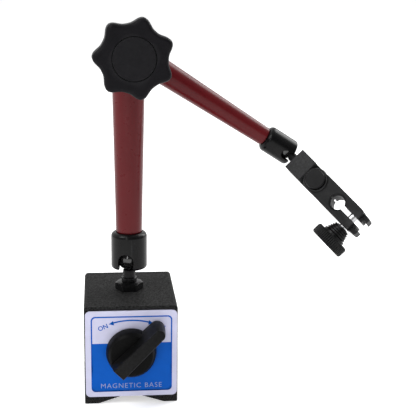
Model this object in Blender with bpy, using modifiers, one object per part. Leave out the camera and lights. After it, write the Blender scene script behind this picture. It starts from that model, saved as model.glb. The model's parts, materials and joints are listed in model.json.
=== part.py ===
"""Magnetic base with a two-section locking arm and an indicator clamp.

Sizes are millimetres, turned into metres by MM. The object stands on Z = 0, with its front face
towards -Y. The origin is the centre of its bounding box on the surface that it stands on.
"""

import math

import bmesh
import bpy
from mathutils import Matrix, Vector

MM = 0.001
GAP = 0.3  # clearance between touching pieces

# ---- where the base stands from the origin -------------------------------------------------
BASE_X = -53.86
BASE_Y = 5.52

# ---- magnetic base -------------------------------------------------------------------------
BODY_WIDTH = 50.0
BODY_HEIGHT = 55.0
BODY_DEPTH = 60.0
COVER_THICK = 3.0
EDGE_ROUND = 2.5
FOOT_ROUND = 0.8
VEE_HALF = 17.7
VEE_HEIGHT = 6.0
SPACER_HALF = 1.2
BORE_RADIUS = 15.2
SWITCH_HEIGHT = 30.0
COVER_SCREW_X = 20.0
COVER_SCREW_LOW = 11.0
COVER_SCREW_HIGH = 49.0
LABEL_WIDTH = 49.2
LABEL_LOW = 4.2
LABEL_HIGH = 53.0
LABEL_THICK = 0.5
LABEL_ROUND = 3.2

# ---- rotary switch and the magnet it turns --------------------------------------------------
ROTOR_RADIUS = 14.6
SHAFT_RADIUS = 5.0
SWITCH_RADIUS = 13.6
SWITCH_FACE_RADIUS = 12.0
SWITCH_DISC_HEIGHT = 7.0
LEVER_ANGLE = -45.0  # right of straight up, seen from the front: the OFF position
LEVER_WIDTH = 10.8
LEVER_TOP_WIDTH = 6.4
LEVER_HEIGHT = 15.8
LEVER_TAIL = 11.0
LEVER_REACH = 25.0
STOP_PIN_RING = 11.0
SWITCH_TRAVEL = 90.0

# ---- ball joints ---------------------------------------------------------------------------
LOWER_BALL_HEIGHT = 73.0
LOWER_BALL_RADIUS = 6.8
LOWER_NECK_RADIUS = 3.8
LOWER_SOCKET_RADIUS = 9.9
LOWER_SOCKET_RIM = 5.3
LOWER_SOCKET_TOP = 15.2
LOWER_SLOT_TURN = -16.0
HEX_FLATS = 13.5
HEX_HEIGHT = 4.4
STUD_HOLE_DEPTH = 7.5
UPPER_BALL_RADIUS = 5.0
UPPER_NECK_RADIUS = 2.6
UPPER_SOCKET_RADIUS = 7.5
UPPER_SOCKET_RIM = 4.1
UPPER_SOCKET_TOP = 14.3
UPPER_SLOT_TURN = -15.5

# ---- arms and elbow ------------------------------------------------------------------------
ARM_SWIVEL = 2.4
LOWER_LENGTH = 113.5
LOWER_ARM_END_RADIUS = 7.15
LOWER_ARM_ELBOW_RADIUS = 9.05
LOWER_HEAD_RADIUS = 11.6
UPPER_OFFSET = 17.6
UPPER_DROP = 32.4
UPPER_LENGTH = 107.2
UPPER_ARM_END_RADIUS = 5.3
UPPER_ARM_ELBOW_RADIUS = 7.3
UPPER_HEAD_RADIUS = 9.7
CROSS_BORE_RADIUS = 6.2
WEDGE_SMALL = 3.2
WEDGE_LARGE = 5.6
WEDGE_HALF_LENGTH = 6.0
LOWER_HEAD_FRONT = 9.7
LOWER_HEAD_BACK = 9.2
UPPER_HEAD_FRONT = 10.2
UPPER_HEAD_BACK = 24.4

# ---- elbow knob ----------------------------------------------------------------------------
KNOB_LOBES = 7
KNOB_TIP = 20.5
KNOB_VALLEY = 17.1
KNOB_TURN = 23.8
KNOB_BACK = 12.1
KNOB_BODY_BACK = 31.5
KNOB_FACE = 41.7
KNOB_HUB_RADIUS = 11.0
KNOB_CAP_RADIUS = 10.9
KNOB_CAP_THICK = 1.7

# ---- swivel block and clamp ----------------------------------------------------------------
TIP_TILT = 41.7
TIP_SPIN = 159.1
BLOCK_START = 9.4
BLOCK_END = 21.0
BAR_NOSE = 6.2
BAR_STEP = 35.7
BAR_END = 61.0
LUG_END = 65.5
BAR_HALF_WIDTH = 6.9
BAR_HALF_THICK = 5.3
PIVOT_AT = 28.2
PIVOT_RADIUS = 2.5
PIVOT_HEAD_RADIUS = 5.4
KEYHOLE_AT = 46.2
KEYHOLE_RADIUS = 4.0
KEYHOLE_CHAMFER = 1.0
RELIEF_AT = 41.3
RELIEF_RADIUS = 0.9
SLOT_HALF = 1.5
LUG_FRONT = -2.5
LUG_HALF_WIDTH = 6.3
DOVETAIL_FLOOR = 63.6
DOVETAIL_ROOT_HALF = 3.6
DOVETAIL_MOUTH_HALF = 2.8
CLAMP_SCREW_AT = 57.1
CLAMP_SCREW_RADIUS = 2.4
CLAMP_KNOB_RADIUS = 10.4
CLAMP_KNOB_INNER = 14.5
CLAMP_KNOB_OUTER = 20.6

# ---- how round things are ------------------------------------------------------------------
FINE = 32
MEDIUM = 24
COARSE = 16

# ---- colours: red, green, blue, then roughness and metallic ----------------------------------
FINISHES = {
    "crinkle_paint": ((0.012, 0.012, 0.012), 0.75, 0.0),
    "red_anodised": ((0.12, 0.008, 0.012), 0.3, 0.6),
    "black_oxide": ((0.012, 0.012, 0.013), 0.35, 0.7),
    "black_plastic": ((0.016, 0.016, 0.018), 0.5, 0.0),
    "label_print": ((0.01, 0.11, 0.5), 0.4, 0.0),
    "bright_steel": ((0.5, 0.5, 0.5), 0.3, 1.0),
    "brass": ((0.6, 0.42, 0.14), 0.35, 1.0),
    "ferrite": ((0.03, 0.03, 0.035), 0.6, 0.2),
}


# ---- tools -----------------------------------------------------------------------------------
def clear_scene():
    for obj in list(bpy.data.objects):
        bpy.data.objects.remove(obj)


def collection(name):
    made = bpy.data.collections.new(name)
    bpy.context.scene.collection.children.link(made)
    return made


def make_material(name):
    colour, roughness, metallic = FINISHES[name]
    made = bpy.data.materials.new(name)
    made.use_nodes = True
    shader = made.node_tree.nodes["Principled BSDF"]
    shader.inputs["Base Color"].default_value = (*colour, 1.0)
    shader.inputs["Roughness"].default_value = roughness
    shader.inputs["Metallic"].default_value = metallic
    made.diffuse_color = (*colour, 1.0)
    return made


def empty(name, parent, at, turn=(0.0, 0.0, 0.0)):
    """An axis or a frame that pieces are placed in. at is in millimetres, turn in degrees."""
    made = bpy.data.objects.new(name, None)
    PARTS.objects.link(made)
    made.parent = parent
    made.location = Vector(at) * MM
    made.rotation_euler = [math.radians(angle) for angle in turn]
    return made


def mesh_object(name, mesh, parent, where):
    made = bpy.data.objects.new(name, mesh)
    where.objects.link(made)
    made.parent = parent
    return made


def finish(obj, finish_name):
    """Gives a part its material, and shades its round faces smooth."""
    obj.data.materials.clear()
    obj.data.materials.append(MATERIALS[finish_name])
    obj.data.shade_smooth()
    obj.data.set_sharp_from_angle(angle=math.radians(35))
    return obj


def as_cutter(obj):
    obj.hide_render = True
    obj.display_type = "WIRE"
    return obj


def evaluated_mesh(obj):
    """The object's mesh with its modifiers, or a curve's mesh, welded and facing out."""
    bpy.context.view_layer.update()
    graph = bpy.context.evaluated_depsgraph_get()
    mesh = bpy.data.meshes.new_from_object(obj.evaluated_get(graph))
    work = bmesh.new()
    work.from_mesh(mesh)
    bmesh.ops.remove_doubles(work, verts=work.verts, dist=0.002 * MM)
    bmesh.ops.recalc_face_normals(work, faces=work.faces)
    work.to_mesh(mesh)
    work.free()
    return mesh


def turned(name, profile, parent, steps=MEDIUM, closed=False, where=None):
    """A turned piece about its local Z. profile is (radius, height) points, top to bottom outside.

    An open profile starts and ends on the axis. A closed one is a ring with a bore."""
    mesh = bpy.data.meshes.new(name)
    count = len(profile)
    edges = [(i, i + 1) for i in range(count - 1)] + ([(count - 1, 0)] if closed else [])
    mesh.from_pydata([(r * MM, 0.0, h * MM) for r, h in profile], edges, [])
    obj = mesh_object(name, mesh, parent, where or PARTS)
    screw = obj.modifiers.new("turn", "SCREW")
    screw.axis = "Z"
    screw.steps = screw.render_steps = steps
    screw.use_merge_vertices = True
    screw.merge_threshold = 0.00001
    obj.data = evaluated_mesh(obj)
    obj.modifiers.clear()
    return obj


def prism(name, outlines, parent, low, high, where=None):
    """A flat outline, with any holes, from local z low to high. outlines are lists of (x, y)."""
    curve = bpy.data.curves.new(name, "CURVE")
    curve.dimensions = "2D"
    curve.fill_mode = "BOTH"
    curve.extrude = (high - low) / 2 * MM
    for outline in outlines:
        spline = curve.splines.new("POLY")
        spline.points.add(len(outline) - 1)
        for point, (x, y) in zip(spline.points, outline):
            point.co = (x * MM, y * MM, 0.0, 1.0)
        spline.use_cyclic_u = True
    drawn = bpy.data.objects.new(name + "_outline", curve)
    PARTS.objects.link(drawn)
    mesh = evaluated_mesh(drawn)
    bpy.data.objects.remove(drawn)
    mesh.transform(Matrix.Translation((0.0, 0.0, (low + high) / 2 * MM)))
    return mesh_object(name, mesh, parent, where or PARTS)


def rod(name, radius, low, high, parent, steps=MEDIUM, where=None):
    profile = [(0.0, high), (radius, high), (radius, low), (0.0, low)]
    return turned(name, profile, parent, steps, where=where)


def block(name, low, high, parent, where=None):
    """A box between two corners."""
    work = bmesh.new()
    bmesh.ops.create_cube(work, size=1.0)
    size = Vector(high) - Vector(low)
    centre = (Vector(high) + Vector(low)) / 2
    bmesh.ops.scale(work, vec=size * MM, verts=work.verts)
    bmesh.ops.translate(work, vec=centre * MM, verts=work.verts)
    mesh = bpy.data.meshes.new(name)
    work.to_mesh(mesh)
    work.free()
    return mesh_object(name, mesh, parent, where or PARTS)


def cut(obj, cutter, operation="DIFFERENCE"):
    modifier = obj.modifiers.new(operation.lower(), "BOOLEAN")
    modifier.operation = operation
    modifier.object = as_cutter(cutter)
    return obj


def arc(x, y, radius, start, end, count):
    """Points along an arc, angles in degrees."""
    angles = [math.radians(start + (end - start) * i / count) for i in range(count + 1)]
    return [(x + radius * math.cos(a), y + radius * math.sin(a)) for a in angles]


def aim(obj, at, turn):
    obj.location = Vector(at) * MM
    obj.rotation_euler = [math.radians(angle) for angle in turn]
    return obj


# Turns local Z towards the front, local X right and local Y up.
FACE_FRONT = (90.0, 0.0, 0.0)


# ---- magnetic base -----------------------------------------------------------------------------
def vee_at(x):
    """Height of the vee groove's roof at x."""
    return VEE_HEIGHT * (1.0 - abs(x) / VEE_HALF)


def pole_outline():
    """Half of the body seen from the front: x right, y up, with its half of the bore."""
    inner = SPACER_HALF + GAP
    half = BODY_WIDTH / 2
    bore_angle = math.degrees(math.acos(inner / BORE_RADIUS))
    return [
        (inner, vee_at(inner)),
        (VEE_HALF, 0.0),
        *arc(half - FOOT_ROUND, FOOT_ROUND, FOOT_ROUND, -90, 0, 2),
        *arc(half - EDGE_ROUND, BODY_HEIGHT - EDGE_ROUND, EDGE_ROUND, 0, 90, 4),
        (inner, BODY_HEIGHT),
        *arc(0.0, SWITCH_HEIGHT, BORE_RADIUS, bore_angle, -bore_angle, 12),
    ]


def cover_outline():
    half = BODY_WIDTH / 2
    right = [
        (VEE_HALF, 0.0),
        *arc(half - FOOT_ROUND, FOOT_ROUND, FOOT_ROUND, -90, 0, 2),
        *arc(half - EDGE_ROUND, BODY_HEIGHT - EDGE_ROUND, EDGE_ROUND, 0, 90, 4),
    ]
    left = [(-x, y) for x, y in reversed(right)]
    return [(0.0, VEE_HEIGHT), *right, *left]


def circle(x, y, radius, count):
    return arc(x, y, radius, 0, 360 - 360 / count, count - 1)


def screw_places():
    heights = (COVER_SCREW_LOW, COVER_SCREW_HIGH)
    return [(x, z) for z in heights for x in (-COVER_SCREW_X, COVER_SCREW_X)]


def make_poles(frame):
    depth = BODY_DEPTH / 2 - COVER_THICK - GAP
    stud_hole = rod("stud_hole_cut", 4.2, -STUD_HOLE_DEPTH, 2.0, frame, COARSE, CUTTERS)
    stud_hole.location.z = BODY_HEIGHT * MM
    holes = mesh_object("screw_holes_cut", screw_hole_mesh(), frame, CUTTERS)
    for side, name in ((1, "base_pole_right"), (-1, "base_pole_left")):
        outline = [(side * x, y) for x, y in pole_outline()]
        pole = prism(name, [outline], frame, -depth, depth)
        aim(pole, (0, 0, 0), FACE_FRONT)
        cut(pole, holes)
        cut(pole, stud_hole)
        finish(pole, "crinkle_paint")
    inner = SPACER_HALF
    top = block(
        "base_spacer_upper",
        (-inner, -depth, SWITCH_HEIGHT + BORE_RADIUS + GAP),
        (inner, depth, BODY_HEIGHT),
        frame,
    )
    finish(cut(top, stud_hole), "brass")
    low = block(
        "base_spacer_lower",
        (-inner, -depth, VEE_HEIGHT),
        (inner, depth, SWITCH_HEIGHT - BORE_RADIUS - GAP),
        frame,
    )
    finish(low, "brass")


def screw_hole_mesh():
    """The eight cover screws' holes in the poles, front and back, as one cutter mesh."""
    work = bmesh.new()
    face = BODY_DEPTH / 2 - COVER_THICK
    for x, z in screw_places():
        for side in (-1, 1):
            place = Matrix.Translation(Vector((x, side * (face - 3.0), z)) * MM)
            bmesh.ops.create_cone(
                work,
                cap_ends=True,
                segments=12,
                radius1=1.8 * MM,
                radius2=1.8 * MM,
                depth=8.0 * MM,
                matrix=place @ Matrix.Rotation(math.radians(90), 4, "X"),
            )
    mesh = bpy.data.meshes.new("screw_holes_cut")
    work.to_mesh(mesh)
    work.free()
    return mesh


def make_cover(frame, name, side):
    """side is -1 at the front and 1 at the back."""
    outer = BODY_DEPTH / 2
    centre_hole = 5.4
    outlines = [cover_outline()]
    if side < 0:
        outlines.append(circle(0.0, SWITCH_HEIGHT, centre_hole, MEDIUM))
    near, far = sorted((-side * outer, -side * (outer - COVER_THICK)))
    cover = aim(prism(name, outlines, frame, near, far), (0, 0, 0), FACE_FRONT)
    profile = [(0, 2), (3.0, 2), (3.0, -1.8), (1.8, -1.8), (1.8, -5), (0, -5)]
    for i, (x, z) in enumerate(screw_places()):
        sink = turned(f"{name}_sink_cut_{i}", profile, frame, 12, where=CUTTERS)
        cut(cover, aim(sink, (x, side * outer, z), (side * -90.0, 0, 0)))
    return finish(cover, "crinkle_paint")


def make_stop_slot(frame, cover):
    """A blind curved slot in the back of the front cover, where the stop pin travels."""
    half = 1.8
    start = 269.0
    end = 271.0 + SWITCH_TRAVEL
    ring = STOP_PIN_RING
    outline = [
        *arc(0.0, 0.0, ring + half, start, end, 12),
        *end_cap(end, ring, half),
        *arc(0.0, 0.0, ring - half, end, start, 12),
        *end_cap(start, ring, -half),
    ]
    slot = prism("stop_slot_cut", [outline], frame, 0.0, 4.0, CUTTERS)
    back = BODY_DEPTH / 2 - COVER_THICK
    aim(slot, (0, -back + 2.0, SWITCH_HEIGHT), FACE_FRONT)
    cut(cover, slot)


def end_cap(angle, ring, half):
    """The half round at one end of a curved slot, without its two end points."""
    x = ring * math.cos(math.radians(angle))
    y = ring * math.sin(math.radians(angle))
    start = angle if half > 0 else angle + 180
    return arc(x, y, abs(half), start, start + 180, 6)[1:-1]


def make_cover_screws(frame):
    for side, word in ((-1, "front"), (1, "rear")):
        for i, (x, z) in enumerate(screw_places()):
            profile = [(0, 0), (2.6, 0), (2.6, -1.4), (1.4, -1.4), (1.4, -8.0), (0, -8.0)]
            screw = turned(f"{word}_cover_screw_{i + 1}", profile, frame, 12)
            aim(screw, (x, side * (BODY_DEPTH / 2 - 0.1), z), (side * -90.0, 0, 0))
            finish(screw, "black_oxide")


def make_label(frame):
    half = LABEL_WIDTH / 2
    r = LABEL_ROUND
    outline = [
        *arc(half - r, LABEL_LOW + r, r, -90, 0, 5),
        *arc(half - r, LABEL_HIGH - r, r, 0, 90, 5),
        *arc(r - half, LABEL_HIGH - r, r, 90, 180, 5),
        *arc(r - half, LABEL_LOW + r, r, 180, 270, 5),
    ]
    hole = circle(0.0, SWITCH_HEIGHT, 5.8, MEDIUM)
    front = BODY_DEPTH / 2 + GAP
    label = prism("front_label", [outline, hole], frame, front, front + LABEL_THICK)
    finish(aim(label, (0, 0, 0), FACE_FRONT), "label_print")


# ---- switch --------------------------------------------------------------------------------------
def make_switch(axis):
    """axis has local Z towards the front, with its origin at the middle of the base's depth."""
    cover_back = BODY_DEPTH / 2 - COVER_THICK
    disc_front = cover_back - 0.6
    disc_back = disc_front - 4.0
    knob_back = BODY_DEPTH / 2 + GAP + LABEL_THICK + 0.4
    profile = [
        (0, knob_back + 8.8),
        (SHAFT_RADIUS, knob_back + 8.8),
        (SHAFT_RADIUS, disc_front),
        (ROTOR_RADIUS, disc_front),
        (ROTOR_RADIUS, disc_back),
        (0, disc_back),
    ]
    shaft = turned("switch_shaft", profile, axis, FINE)
    tongue = block("tongue_join", (-10, -2.4, disc_back - 3), (10, 2.4, disc_back + 1), axis, CUTTERS)
    cut(shaft, tongue, "UNION")
    pin_hole = rod("pin_hole_cut", 1.5, disc_front - 2.9, disc_front + 1, axis, 12, CUTTERS)
    pin_hole.location.y = -STOP_PIN_RING * MM
    finish(cut(shaft, pin_hole), "bright_steel")

    pin = rod("switch_stop_pin", 1.2, disc_front - 2.6, cover_back + 1.7, axis, 12)
    pin.location.y = -STOP_PIN_RING * MM
    finish(pin, "bright_steel")

    magnet_front = disc_back - GAP
    magnet = rod("rotor_magnet", ROTOR_RADIUS, -(cover_back - 1.0), magnet_front, axis, FINE)
    slot = block(
        "magnet_slot_cut",
        (-10.4, -2.8, magnet_front - 3.2),
        (10.4, 2.8, magnet_front + 1),
        axis,
        CUTTERS,
    )
    finish(cut(magnet, slot), "ferrite")
    make_switch_knob(axis, knob_back)


def lever_mesh(axis, base, top):
    """The lever as a side view drawn flat, given its width, then narrowed towards its top."""
    side_view = [
        (-LEVER_TAIL, base),
        (1.5 - LEVER_TAIL, top),
        (LEVER_REACH - 5.0, top),
        (LEVER_REACH - 1.6, top - 2.4),
        (LEVER_REACH, top - 7.0),
        (LEVER_REACH - 1.6, base),
    ]
    half = LEVER_WIDTH / 2
    lever = prism("switch_lever_join", [side_view], axis, -half, half, CUTTERS)
    for vertex in lever.data.vertices:
        height = (vertex.co.y / MM - base) / (top - base)
        narrow = 1.0 + (LEVER_TOP_WIDTH / LEVER_WIDTH - 1.0) * height
        vertex.co.z *= narrow
    # The side view's x becomes up, its y becomes front, and its width becomes left to right.
    lever.data.transform(Matrix(((0, 0, 1, 0), (1, 0, 0, 0), (0, 1, 0, 0), (0, 0, 0, 1))))
    lever.rotation_euler.z = math.radians(LEVER_ANGLE)
    return lever


def make_switch_knob(axis, back):
    face = back + SWITCH_DISC_HEIGHT
    profile = [
        (0, face),
        (SWITCH_FACE_RADIUS - 1.0, face),
        (SWITCH_FACE_RADIUS, face - 0.8),
        (SWITCH_RADIUS, back + 1.4),
        (SWITCH_RADIUS, back),
        (0, back),
    ]
    knob = turned("switch_knob", profile, axis, FINE)
    cut(knob, lever_mesh(axis, back + 1.6, back + LEVER_HEIGHT), "UNION")
    shaft_hole = rod("shaft_hole_cut", SHAFT_RADIUS + GAP, back - 1, back + 9.2, axis, MEDIUM, CUTTERS)
    cut(knob, shaft_hole)
    grub_hole = rod("grub_hole_cut", 1.5, SHAFT_RADIUS, 16.0, axis, 12, CUTTERS)
    aim(grub_hole, (0, 0, back + 3.6), (90, 0, 180 + LEVER_ANGLE - 90))
    cut(knob, grub_hole)
    finish(knob, "black_plastic")
    grub = rod("switch_grub_screw", 1.2, SHAFT_RADIUS + GAP, 11.5, axis, 12)
    aim(grub, (0, 0, back + 3.6), (90, 0, 180 + LEVER_ANGLE - 90))
    finish(grub, "black_oxide")


# ---- ball joints ---------------------------------------------------------------------------------
def sphere_points(radius, start, end, count):
    """(radius, height) points down a ball's side, angles in degrees from its top."""
    angles = [math.radians(start + (end - start) * i / count) for i in range(count + 1)]
    return [(radius * math.sin(a), radius * math.cos(a)) for a in angles]


def make_ball(name, parent, radius, hole_radius, hole_end):
    """A ball with a flat below and a blind hole for its stud, opening towards -Z."""
    flat = 155.0
    side = sphere_points(radius, 0, flat, 12)
    bottom = side[-1][1]
    profile = [*side, (hole_radius, bottom), (hole_radius, hole_end), (0, hole_end)]
    return finish(turned(name, profile, parent, MEDIUM), "bright_steel")


def make_base_stud(ball):
    """Threaded end, hexagon, neck and the spigot that carries the ball, about the ball's centre."""
    top = BODY_HEIGHT - LOWER_BALL_HEIGHT
    hex_low = top + GAP
    hex_high = hex_low + HEX_HEIGHT
    flat_under_ball = LOWER_BALL_RADIUS * math.cos(math.radians(155))
    neck_top = flat_under_ball - GAP
    thread_end = top - STUD_HOLE_DEPTH + 0.5
    profile = [
        (0, 1.4),
        (2.0, 1.4),
        (2.0, neck_top),
        (2.9, neck_top),
        (LOWER_NECK_RADIUS, neck_top - 1.6),
        (LOWER_NECK_RADIUS, hex_high + 1.2),
        (LOWER_NECK_RADIUS + 0.4, hex_high - 0.5),
        (LOWER_NECK_RADIUS, hex_low + 1.0),
        (LOWER_NECK_RADIUS, thread_end),
        (0, thread_end),
    ]
    stud = turned("base_ball_stud", profile, ball, MEDIUM)
    corner = HEX_FLATS / 2 / math.cos(math.radians(30))
    hexagon = prism("hexagon_join", [circle(0, 0, corner, 6)], ball, hex_low, hex_high, CUTTERS)
    finish(cut(stud, hexagon, "UNION"), "black_oxide")


def socket_profile(radius, rim, top, ball_radius, soft_top):
    """A sleeve about the ball's centre: a seat below the ball's middle, and a bore above it."""
    seat = ball_radius + GAP
    mouth = ball_radius * 0.9
    mouth_height = -math.sqrt(seat**2 - mouth**2)
    seat_start = math.degrees(math.asin(mouth_height / seat))
    return [
        *arc(radius - soft_top, top - soft_top, soft_top, 90, 0, 4),
        *arc(radius - 1.4, 1.4 - rim, 1.4, 0, -90, 3),
        (mouth + 0.5, -rim),
        (mouth, -rim + 0.5),
        *arc(0.0, 0.0, seat, seat_start, 0.0, 4),
        (seat, top),
    ]


def slot_cutter(name, parent, half, rim, radius, turn):
    """The slot that a neck swings into: round at the ball's middle, open at the rim."""
    outline = [(-half, -rim - 3.0), (half, -rim - 3.0), *arc(0, 0, half, 0, 180, 8)]
    slot = prism(name, [outline], parent, 0.0, radius + 3.0, CUTTERS)
    return aim(slot, (0, 0, 0), (90.0, 0, turn))


def make_lower_socket(arm):
    profile = socket_profile(
        LOWER_SOCKET_RADIUS, LOWER_SOCKET_RIM, LOWER_SOCKET_TOP, LOWER_BALL_RADIUS, 2.4
    )
    sleeve = turned("lower_socket", profile, arm, FINE, closed=True)
    half = LOWER_NECK_RADIUS + 0.35
    args = (half, LOWER_SOCKET_RIM, LOWER_SOCKET_RADIUS, LOWER_SLOT_TURN)
    cut(sleeve, slot_cutter("lower_slot_cut", arm, *args))
    finish(sleeve, "black_oxide")


def make_upper_socket(tip):
    profile = socket_profile(
        UPPER_SOCKET_RADIUS, UPPER_SOCKET_RIM, UPPER_SOCKET_TOP, UPPER_BALL_RADIUS, 2.2
    )
    sleeve = turned("upper_socket", profile, tip, FINE, closed=True)
    half = UPPER_NECK_RADIUS + 0.35
    args = (half, UPPER_SOCKET_RIM, UPPER_SOCKET_RADIUS, UPPER_SLOT_TURN)
    cut(sleeve, slot_cutter("upper_slot_cut", tip, *args))
    finish(sleeve, "black_oxide")


def make_pad(name, parent, radius, ball_radius, top):
    """The pressure pad between a push rod and a ball: hollow below, flat above."""
    hollow = ball_radius + GAP
    edge = math.sqrt(hollow**2 - (radius - 0.4) ** 2)
    cup = [(hollow * math.sin(a), hollow * math.cos(a)) for a in cup_angles(radius, hollow)]
    profile = [(0, top), (radius, top), (radius, edge + 0.6), (radius - 0.4, edge), *cup, (0, hollow)]
    return finish(turned(name, profile, parent, COARSE), "bright_steel")


def cup_angles(radius, hollow):
    widest = math.asin((radius - 0.4) / hollow)
    return [widest * (1 - i / 5) for i in range(1, 5)]


def make_push_rod(name, parent, radius, low, high):
    """A rod with a round tip at its upper end."""
    tip = [(r, high - radius + h) for r, h in sphere_points(radius, 0, 90, 4)]
    return finish(turned(name, [*tip, (radius, low), (0, low)], parent, COARSE), "bright_steel")


# ---- arms ------------------------------------------------------------------------------------------
def make_arm(name, parent, length, end_radius, elbow_radius, spigot, shoulder, head):
    """A tapered arm about its local Z, from the ball's centre up to the elbow.

    spigot is (radius, start), shoulder the height where the taper starts, and head is
    (radius, front, back) of the round end, whose axis is local Y."""
    spigot_radius, spigot_start = spigot
    head_radius, front, back = head
    bore = 3.3
    profile = [
        (elbow_radius, length),
        (end_radius, shoulder + 0.4),
        (end_radius - 0.3, shoulder),
        (spigot_radius, shoulder),
        (spigot_radius, spigot_start),
        (bore, spigot_start),
        (bore, length),
    ]
    arm = turned(name, profile, parent, MEDIUM, closed=True)
    crown = rod(name + "_head_join", head_radius, -back, front, parent, FINE, CUTTERS)
    aim(crown, (0, 0, length), FACE_FRONT)
    cut(arm, crown, "UNION")
    cross = rod(name + "_cross_cut", CROSS_BORE_RADIUS, -back - 1, front + 1, parent, MEDIUM, CUTTERS)
    cut(arm, aim(cross, (0, 0, length), FACE_FRONT))
    way = rod(name + "_way_cut", bore, length - head_radius - 3, length, parent, MEDIUM, CUTTERS)
    cut(arm, way)
    return finish(arm, "red_anodised")


def wedge_middle():
    return (WEDGE_SMALL + WEDGE_LARGE) / 2


def make_lower_arm(arm):
    spigot_start = LOWER_BALL_RADIUS + 4.2
    make_arm(
        "lower_arm",
        arm,
        LOWER_LENGTH,
        LOWER_ARM_END_RADIUS,
        LOWER_ARM_ELBOW_RADIUS,
        (LOWER_ARM_END_RADIUS - 0.5, spigot_start),
        LOWER_SOCKET_TOP + GAP,
        (LOWER_HEAD_RADIUS, LOWER_HEAD_FRONT, LOWER_HEAD_BACK),
    )
    make_pad("lower_ball_pad", arm, LOWER_BALL_RADIUS - 0.3, LOWER_BALL_RADIUS, spigot_start - GAP)
    top = LOWER_LENGTH - wedge_middle() - 0.35
    make_push_rod("lower_push_rod", arm, 2.9, spigot_start, top)


def make_upper_arm(arm):
    """arm has local Z from the tip ball's centre back to the elbow."""
    spigot_start = UPPER_BALL_RADIUS + 4.2
    make_arm(
        "upper_arm",
        arm,
        UPPER_LENGTH,
        UPPER_ARM_END_RADIUS,
        UPPER_ARM_ELBOW_RADIUS,
        (UPPER_ARM_END_RADIUS - 0.5, spigot_start),
        UPPER_SOCKET_TOP + GAP,
        (UPPER_HEAD_RADIUS, UPPER_OFFSET - UPPER_HEAD_FRONT, UPPER_HEAD_BACK - UPPER_OFFSET),
    )
    make_pad("upper_ball_pad", arm, UPPER_BALL_RADIUS - 0.3, UPPER_BALL_RADIUS, spigot_start - GAP)
    top = UPPER_LENGTH - wedge_middle() - 0.35
    make_push_rod("upper_push_rod", arm, 2.9, spigot_start, top)


# ---- elbow -------------------------------------------------------------------------------------------
def knob_radius(angle):
    """The knob's outline: narrow round lobes with wide hollows between them."""
    swing = (1.0 + math.cos(KNOB_LOBES * (angle - math.radians(KNOB_TURN)))) / 2
    return KNOB_VALLEY + (KNOB_TIP - KNOB_VALLEY) * swing**1.5


def knob_outline():
    count = KNOB_LOBES * 8
    angles = [2 * math.pi * i / count for i in range(count)]
    return [(knob_radius(a) * math.cos(a), knob_radius(a) * math.sin(a)) for a in angles]


def make_knob(elbow):
    obj = prism("elbow_knob", [knob_outline()], elbow, KNOB_BODY_BACK, KNOB_FACE)
    bevel = obj.modifiers.new("round_edges", "BEVEL")
    bevel.width = 2.2 * MM
    bevel.segments = 3
    bevel.angle_limit = math.radians(60)
    neck = KNOB_HUB_RADIUS
    hub = [(0, KNOB_FACE - 4), (16.0, KNOB_FACE - 4), (16.0, KNOB_BODY_BACK), (neck, 25.0), (neck, KNOB_BACK)]
    cut(obj, turned("knob_hub_join", [*hub, (0, KNOB_BACK)], elbow, FINE, where=CUTTERS), "UNION")
    inside = [
        (0, KNOB_FACE + 1),
        (KNOB_CAP_RADIUS + GAP, KNOB_FACE + 1),
        (KNOB_CAP_RADIUS + GAP, KNOB_FACE - KNOB_CAP_THICK - GAP),
        (7.3, KNOB_FACE - KNOB_CAP_THICK - GAP),
        (7.3, 15.0),
        (4.4, 15.0),
        (4.4, KNOB_BACK - 1),
        (0, KNOB_BACK - 1),
    ]
    cut(obj, turned("knob_bore_cut", inside, elbow, FINE, where=CUTTERS))
    finish(obj, "black_plastic")

    cap_low = KNOB_FACE - KNOB_CAP_THICK
    cap = rod("elbow_knob_cap", KNOB_CAP_RADIUS, cap_low, KNOB_FACE, elbow, FINE)
    finish(cap, "black_plastic")
    insert = [(7.0, 27.0), (7.0, 15.3), (4.2, 15.3), (4.2, 27.0)]
    finish(turned("elbow_knob_insert", insert, elbow, MEDIUM, closed=True), "brass")
    front, rear = KNOB_BACK - GAP, LOWER_HEAD_FRONT + GAP
    washer = [(9.6, front), (9.6, rear), (4.5, rear), (4.5, front)]
    finish(turned("elbow_thrust_washer", washer, elbow, MEDIUM, closed=True), "bright_steel")


def wedge(middle):
    """One cone of the draw bolt, centred at this height, thicker towards the back."""
    return [
        (WEDGE_SMALL, middle + WEDGE_HALF_LENGTH),
        (WEDGE_LARGE, middle - WEDGE_HALF_LENGTH),
    ]


def make_draw_bolt(elbow):
    """Local Z is towards the front: the knob draws the bolt that way, and its cones spread the rods."""
    back = -UPPER_HEAD_BACK
    profile = [
        (0, 24.5),
        (3.4, 24.5),
        (3.9, 24.0),
        (3.9, 8.6),
        (WEDGE_SMALL, 8.0),
        *wedge(0.0),
        (WEDGE_LARGE, -8.0),
        (WEDGE_SMALL, -9.6),
        *wedge(-UPPER_OFFSET),
        (3.9, back - 0.2),
        (3.9, back - 7.6),
        (3.4, back - 8.1),
        (0, back - 8.1),
    ]
    finish(turned("draw_bolt", profile, elbow, MEDIUM), "bright_steel")
    front, rear = -LOWER_HEAD_BACK - GAP, -UPPER_HEAD_FRONT + GAP
    ring = [(8.6, front), (8.6, rear), (6.4, rear), (6.4, front)]
    finish(turned("elbow_friction_ring", ring, elbow, MEDIUM, closed=True), "brass")
    spring = [(4.6, back - 1.2), (4.6, back - 2.1), (8.4, back - 1.2), (8.4, back - GAP)]
    finish(turned("elbow_disc_spring", spring, elbow, MEDIUM, closed=True), "bright_steel")
    make_end_nut(elbow, back - 2.4)


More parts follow.
